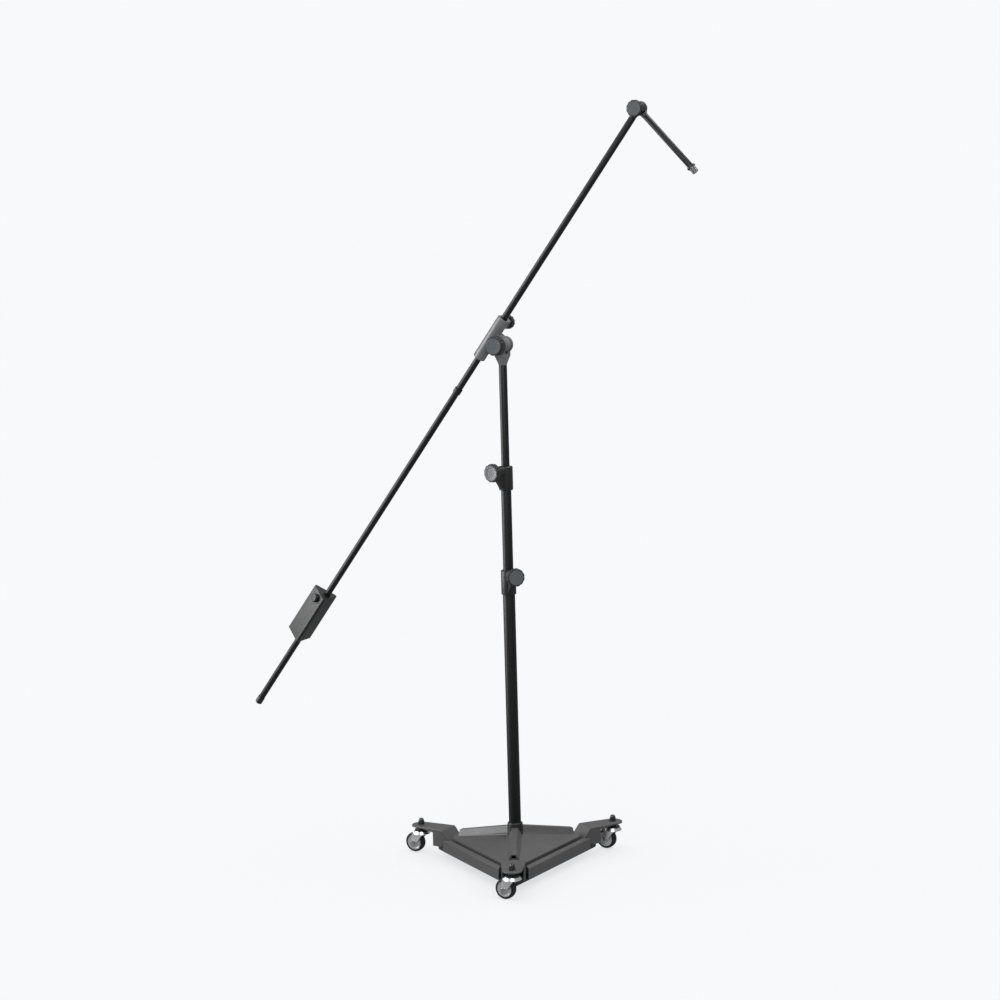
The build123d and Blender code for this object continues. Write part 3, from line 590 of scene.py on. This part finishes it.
class BuildFittings(bpy.types.Operator):
    """Coupling, end cap, socket and the threaded microphone stud"""

    bl_idname = "stand.build_fittings"
    bl_label = "Fittings"

    def execute(self, context):
        made = finishes()
        low, high = local_box("boom_coupling", BOOM)
        r, base, top = high[1], low[2], high[2]
        bore = local_box("boom_rear_tube", BOOM)[1][1] + 0.02 * MM
        lip = 2.2 * MM
        ring = [
            (bore, base), (r - 0.5 * MM, base), (r, base + 0.6 * MM), (r, base + lip),
            (r - 0.35 * MM, base + lip + 0.4 * MM), (r - 0.35 * MM, top - lip - 0.4 * MM),
            (r, top - lip), (r, top - 0.6 * MM), (r - 0.5 * MM, top), (bore, top),
        ]
        part = lathe(eased(ring, 0.25 * MM, True, 3), True, sizes().smooth)
        piece("boom_coupling_skin", [part], made["tube paint"], ["boom_coupling"], BOOM)

        low, high = local_box("boom_end_cap", BOOM)
        r, base, top = high[1], low[2], high[2]
        floor = base + 3 * MM
        cup = [
            (NEAR_AXIS, base), (r - 1.5 * MM, base), (r, base + 1.6 * MM), (r, top), (bore, top),
            (bore, floor), (NEAR_AXIS, floor),
        ]
        part = turned(cup, np.array([0, 1.0, 1.0, 0.35, 0.2, 0.3, 0]) * MM)
        piece("boom_end_cap_skin", [part], made["knob plastic"], ["boom_end_cap"], BOOM)
        self.socket(made)
        self.stud(made)
        return {"FINISHED"}

    def socket(self, made):
        """Flanged socket that holds the foot of the mast."""
        low, high = local_box("mast_socket", WORLD)
        flange, base, top = high[0], low[2], high[2]
        bore = local_box("lower_tube", WORLD)[1][0] + 0.1 * MM
        r = bore + SOCKET_WALL
        ring = [
            (bore, base), (flange, base), (flange, base + SOCKET_FOOT),
            (r + 3 * MM, base + SOCKET_FOOT), (r, base + 9 * MM), (r, top - 2.6 * MM),
            (r - 2.2 * MM, top), (bore, top),
        ]
        radii = np.array([0, 1, 1, 2, 2, 1.2, 1.2, 0.3]) * MM
        part = lathe(eased(ring, radii, True, 4), True, 80)
        piece("mast_socket_skin", [part], made["black casting"], ["mast_socket"])

    def stud(self, made):
        """Flange and screw: the thread's radius follows a rounded triangle wave of height over
        pitch less turn, fading at both ends."""
        low, high = local_box("mic_stud", MINI)
        seat = MIC["dims"]["length_mm"] * MM
        r, top = MIC["dims"]["r_mm"] * MM, high[2]
        base = top - seat
        flange = high[1]
        pitch = sizes().thread_pitch
        rows = np.linspace(base - 0.2 * MM, top, int(seat / pitch * 10))

        def thread(a, h, rr):
            phase = (h / pitch - a / (2 * pi)) % 1.0
            wave = np.abs(2 * phase - 1)
            fade = np.clip((h - base - 0.4 * MM) / pitch, 0, 1)
            fade = fade * np.clip((top - 0.2 * MM - h) / pitch, 0, 1)
            lead_in = 0.7 * MM * (1 - np.clip((top - h) / (0.9 * MM), 0, 1))
            return THREAD_DEPTH * np.clip(wave * 1.25 - 0.12, 0, 1) * fade + lead_in

        screw = lathe(np.column_stack([np.full(len(rows), r), rows]), False, 96, thread)
        ring = [
            (NEAR_AXIS, base - FLANGE_T), (flange - 0.8 * MM, base - FLANGE_T),
            (flange, base - FLANGE_T + 0.8 * MM), (flange, base - 0.8 * MM),
            (flange - 0.8 * MM, base), (NEAR_AXIS, base),
        ]
        plug_r = local_box("mini_tube", MINI)[1][1] - 1.6 * MM
        inside = base - 4 * MM
        plug = turned([(SHAFT_CORE, low[2]), (plug_r, low[2]), (plug_r, inside), (SHAFT_CORE, inside)])
        piece("mic_stud_skin", [screw, plug], made["plated steel"], ["mic_stud"], MINI)
        piece("mic_flange_skin", [turned(ring, 0.3 * MM)], made["black casting"], ["mic_stud"], MINI)


class BuildWeight(bpy.types.Operator):
    """Counterweight: a bored casting of triangular section"""

    bl_idname = "stand.build_weight"
    bl_label = "Counterweight"

    def execute(self, context):
        """Rings run from the bore over one end, along the three faces, over the other end and back."""
        low, high = local_box("counterweight", BOOM)
        inner, half = WEIGHT_SIDE / (2 * sqrt(3)), WEIGHT_SIDE / 2
        corners = np.array([(2 * inner, 0), (-inner, half), (-inner, -half)]) + (WEIGHT_OFF, 0)
        outline = eased(corners, WEIGHT_CORNER, True, 10)
        keys = np.vstack([outline, outline[:1]])
        run = np.concatenate([[0], np.cumsum(np.linalg.norm(np.diff(keys, axis=0), axis=1))])
        even = np.linspace(0, run[-1], 181)[:-1]
        merged = np.unique(np.concatenate([even, run[:-1]]).round(7))
        rim = np.column_stack([np.interp(merged, run, keys[:, i]) for i in (0, 1)])
        angle = np.arctan2(rim[:, 1], rim[:, 0])
        hole = np.column_stack([np.cos(angle), np.sin(angle)]) * BOOM_BORE
        inset = np.array([0.0, 0.15, 0.55, 1.2]) * MM
        drop = np.array([1.2, 0.55, 0.15, 0.0]) * MM
        ends = []
        for end, way in ((low[2], 1), (high[2], -1)):
            stack = []
            reach = np.linalg.norm(rim, axis=1, keepdims=True)
            for ins, dr in zip(inset, drop):
                ring = rim * (1 - ins / reach * 1.2)
                stack.append(np.column_stack([ring, np.full(len(ring), end + way * dr)]))
            for share in (0.3, 0.65):
                ring = rim * (1 - share) + hole * share
                stack.append(np.column_stack([ring, np.full(len(ring), end)]))
            for grow, depth in ((1.0 * MM, 0.0), (0.3 * MM, 0.3 * MM), (0.0, 1.0 * MM)):
                ring = hole * (1 + grow / BOOM_BORE)
                stack.append(np.column_stack([ring, np.full(len(ring), end + way * depth)]))
            ends.append(stack)
        rings = ends[0][::-1] + ends[1]
        body, enamel = shell(np.array(rings), True), finishes()["weight enamel"]
        piece("counterweight_skin", [body], enamel, ["counterweight"], BOOM, 50)
        return {"FINISHED"}


class BuildBase(bpy.types.Operator):
    """Cover, rails and outriggers of the base"""

    bl_idname = "stand.build_base"
    bl_label = "Base"

    def execute(self, context):
        coat = finishes()["powder coat"]
        edge = sizes().pressed_edge
        casting("base_cover", coat, edge, 2, 25)
        casting("base_weight", finishes()["weight enamel"], 2 * edge)
        for k in (1, 2, 3):
            casting(f"side_rail_{k}", coat, edge)
            casting(f"outrigger_{k}", coat, edge)
        return {"FINISHED"}


class BuildCastings(bpy.types.Operator):
    """Collars, yoke, sleeve and knuckles"""

    bl_idname = "stand.build_castings"
    bl_label = "Castings"

    def execute(self, context):
        made = finishes()
        edge = sizes().edge
        for node in ("lower_collar", "middle_collar", "boom_knuckle", "mini_knuckle"):
            casting(node, made["black casting"], edge)
        for node in ("yoke", "boom_holder", "tilt_bolt"):
            casting(node, made["grey casting"], edge)
        return {"FINISHED"}


class BuildHardware(bpy.types.Operator):
    """Bushes, bolts, studs, screws and nuts"""

    bl_idname = "stand.build_hardware"
    bl_label = "Hardware"

    def execute(self, context):
        made = finishes()
        fine = 0.3 * MM
        # the liner and bushes take the nylon whose near-black colour is painted shade of the mouths they sit in
        plan = {
            "base_screws": "black oxide", "mast_bolt": "plated steel", "caster_stems": "black oxide",
            "caster_nuts": "black oxide", "lower_bush": "nylon darkened as painted shade", "middle_bush": "nylon darkened as painted shade",
            "boom_liner": "nylon darkened as painted shade", "clutch_discs": "friction facing",
            "lower_knob_stud": "plated steel", "middle_knob_stud": "plated steel",
            "lock_stud": "plated steel", "knuckle_bolt": "plated steel",
        }
        for node, name in plan.items():
            casting(node, made[name], fine)
        return {"FINISHED"}


class BuildCastors(bpy.types.Operator):
    """Forks, axles, wheels and tyres"""

    bl_idname = "stand.build_castors"
    bl_label = "Castors"

    def execute(self, context):
        made = finishes()
        for k in (1, 2, 3):
            casting(f"caster_fork_{k}", made["bright zinc"], 0.4 * MM)
            casting(f"caster_axle_{k}", made["plated steel"], 0.4 * MM)
            place = placement(JOINTS[f"wheel_roll_{k}"]["pos_m"], (0, 1, 0), (0, 0, 1))
            high = local_box(f"caster_tyre_{k}", place)[1]
            r, half = high[0], high[2]
            hub = local_box(f"caster_wheel_{k}", place)[1][0]
            tread = [
                (hub, -half), (r - 2.6 * MM, -half), (r - 0.3 * MM, -half + 3.4 * MM),
                (r, -half + 7 * MM), (r, half - 7 * MM), (r - 0.3 * MM, half - 3.4 * MM),
                (r - 2.6 * MM, half), (hub, half),
            ]
            radii = np.array([0.3, 1.5, 3, 4, 4, 3, 1.5, 0.3]) * MM
            part = lathe(eased(tread, radii, True, 5), True, 96)
            piece(f"caster_tyre_{k}_skin", [part], made["tyre rubber"], [f"caster_tyre_{k}"], place)
            bore, boss = 3.05 * MM, half + 1 * MM
            disc = [
                (bore, -boss), (7 * MM, -boss), (8.5 * MM, -half + 3 * MM), (14.5 * MM, -half + 3 * MM),
                (hub, -half + 0.8 * MM), (hub, half - 0.8 * MM), (14.5 * MM, half - 3 * MM),
                (8.5 * MM, half - 3 * MM), (7 * MM, boss), (bore, boss),
            ]
            radii = np.array([0.2, 0.8, 2, 2, 0.5, 0.5, 2, 2, 0.8, 0.2]) * MM
            part = lathe(eased(disc, radii, True, 4), True, 80)
            piece(f"caster_wheel_{k}_skin", [part], made["hub plastic"], [f"caster_wheel_{k}"], place)
        return {"FINISHED"}


class BuildStage(bpy.types.Operator):
    """Floor, soft lights and camera"""

    bl_idname = "stand.build_stage"
    bl_label = "Stage"

    def execute(self, context):
        stage = context.scene.stand_stage
        floor = self.floor()
        self.camera(context, stage)
        self.lights(context, floor)
        return {"FINISHED"}

    def floor(self):
        """Plain level floor that runs far out on all sides."""
        far = np.linspace(-FLOOR_REACH, FLOOR_REACH, 5)
        x, y = np.meshgrid(far, far, indexing="ij")
        grid = np.stack([x, y, np.zeros_like(x)], -1)
        i, j = np.meshgrid(np.arange(4), np.arange(4), indexing="ij")
        faces = np.stack([5 * i + j, 5 * i + j + 5, 5 * i + j + 6, 5 * i + j + 1], -1).reshape(-1, 4)
        mesh = bpy.data.meshes.new("floor")
        mesh.from_pydata(grid.reshape(-1, 3).tolist(), [], faces.tolist())
        floor = bpy.data.objects.new("floor", mesh)
        bpy.context.scene.collection.objects.link(floor)
        paper = finish(
            "floor paper", (0.7, 0.705, 0.71), 0.8, patch=0.01, patch_scale=0.6, rough_spread=0.03,
            specular=0.0,
        )
        shader = next(n for n in paper.node_tree.nodes if n.type == "BSDF_PRINCIPLED")
        shader.inputs["Emission Color"].default_value = FLOOR_GLOW
        shader.inputs["Emission Strength"].default_value = 1.0
        mesh.materials.append(paper)
        floor.visible_diffuse = False
        floor.visible_glossy = False
        return floor

    def camera(self, context, stage):
        """Camera at a distance and height from the mast, looking at it with a small yaw and roll."""
        away, side = stage_axes()
        forward = away * cos(stage.yaw) + side * sin(stage.yaw)
        right = side * cos(stage.yaw) - away * sin(stage.yaw)
        up = np.array([0, 0, 1.0])
        look = forward * cos(stage.pitch) - up * sin(stage.pitch)
        top = up * cos(stage.pitch) + forward * sin(stage.pitch)
        x = right * cos(stage.roll) + top * sin(stage.roll)
        y = top * cos(stage.roll) - right * sin(stage.roll)
        turn = Matrix(np.column_stack([x, y, -look]).tolist()).to_4x4()
        data = bpy.data.cameras.new("camera")
        data.sensor_width, data.lens = 36.0, stage.lens
        camera = bpy.data.objects.new("camera", data)
        context.scene.collection.objects.link(camera)
        spot = -away * stage.distance + up * stage.height
        camera.matrix_world = Matrix.Translation(Vector(spot)) @ turn
        context.scene.camera = camera

    def lights(self, context, floor):
        """Soft boxes given by side, distance and height from the mast. They leave the floor out, so
        it keeps one even tone and only the sky's soft contact shadow. The sheen box at the side
        shows only in gloss."""
        spared = bpy.data.collections.new("spared by the lamps")
        spared.objects.link(floor)
        spared.collection_objects[0].light_linking.link_state = "EXCLUDE"
        away, side = stage_axes()
        boxes = (
            ("sheen", -3.0, 0.1, 1.6, 1.5, 3.0, 190.0),
            ("fill", -0.1, -2.6, 2.3, 1.0, 1.0, 46.0),
            ("top", 1.2, 0.4, 4.0, 2.0, 2.0, 100.0),
        )
        for name, across, along, high, wide, tall, power in boxes:
            data = bpy.data.lights.new(name, "AREA")
            data.shape, data.size, data.size_y, data.energy = "RECTANGLE", wide, tall, power
            data.color = LAMP_COLOUR
            light = bpy.data.objects.new(name, data)
            context.scene.collection.objects.link(light)
            light.light_linking.receiver_collection = spared
            light.visible_diffuse = name != "sheen"
            spot = Vector(side * across + away * along) + Vector((0, 0, high))
            aim = Vector((0, 0, 0.9)) - spot
            turn = aim.to_track_quat("-Z", "Y").to_matrix().to_4x4()
            light.matrix_world = Matrix.Translation(spot) @ turn
        world = bpy.data.worlds.new("studio")
        world.use_nodes = True
        nodes, links = world.node_tree.nodes, world.node_tree.links
        sky = nodes["Background"]
        sky.inputs["Color"].default_value = (*LAMP_COLOUR, 1)
        sky.inputs["Strength"].default_value = SKY_STRENGTH
        wall = nodes.new("ShaderNodeBackground")
        wall.inputs["Color"].default_value = WALL_COLOUR
        seen = nodes.new("ShaderNodeMixShader")
        links.new(nodes.new("ShaderNodeLightPath").outputs["Is Camera Ray"], seen.inputs["Fac"])
        links.new(sky.outputs["Background"], seen.inputs[1])
        links.new(wall.outputs["Background"], seen.inputs[2])
        links.new(seen.outputs["Shader"], nodes["World Output"].inputs["Surface"])
        context.scene.world = world
        context.scene.view_settings.view_transform = "Standard"


def stage_axes():
    """Level directions away from the camera and to its right."""
    a = bpy.context.scene.stand_stage.azimuth
    return np.array([-sin(a), cos(a), 0.0]), np.array([cos(a), sin(a), 0.0])


BUILDERS = (
    BuildTubes, BuildKnobs, BuildFittings, BuildWeight, BuildBase, BuildCastings, BuildHardware,
    BuildCastors, BuildStage,
)


class StandPanel(bpy.types.Panel):
    """Lists the stand's builders and settings"""

    bl_idname = "VIEW3D_PT_boom_stand"
    bl_label = "Boom microphone stand"
    bl_space_type = "VIEW_3D"
    bl_region_type = "UI"
    bl_category = "Stand"

    def draw(self, context):
        scene = context.scene
        for group in (scene.stand_sizes, scene.stand_colours, scene.stand_stage):
            box = self.layout.box()
            for name in group.__annotations__:
                box.prop(group, name)
        for builder in BUILDERS:
            self.layout.operator(builder.bl_idname)


CLASSES = (StandSizes, StandColours, StandStage, *BUILDERS, StandPanel)


def register():
    for cls in CLASSES:
        bpy.utils.register_class(cls)
    bpy.types.Scene.stand_sizes = PointerProperty(type=StandSizes)
    bpy.types.Scene.stand_colours = PointerProperty(type=StandColours)
    bpy.types.Scene.stand_stage = PointerProperty(type=StandStage)


def unregister():
    del bpy.types.Scene.stand_stage, bpy.types.Scene.stand_colours, bpy.types.Scene.stand_sizes
    for cls in reversed(CLASSES):
        bpy.utils.unregister_class(cls)


def main():
    register()
    for builder in BUILDERS:
        group, name = builder.bl_idname.split(".")
        getattr(getattr(bpy.ops, group), name)()


if __name__ == "__main__":
    main()
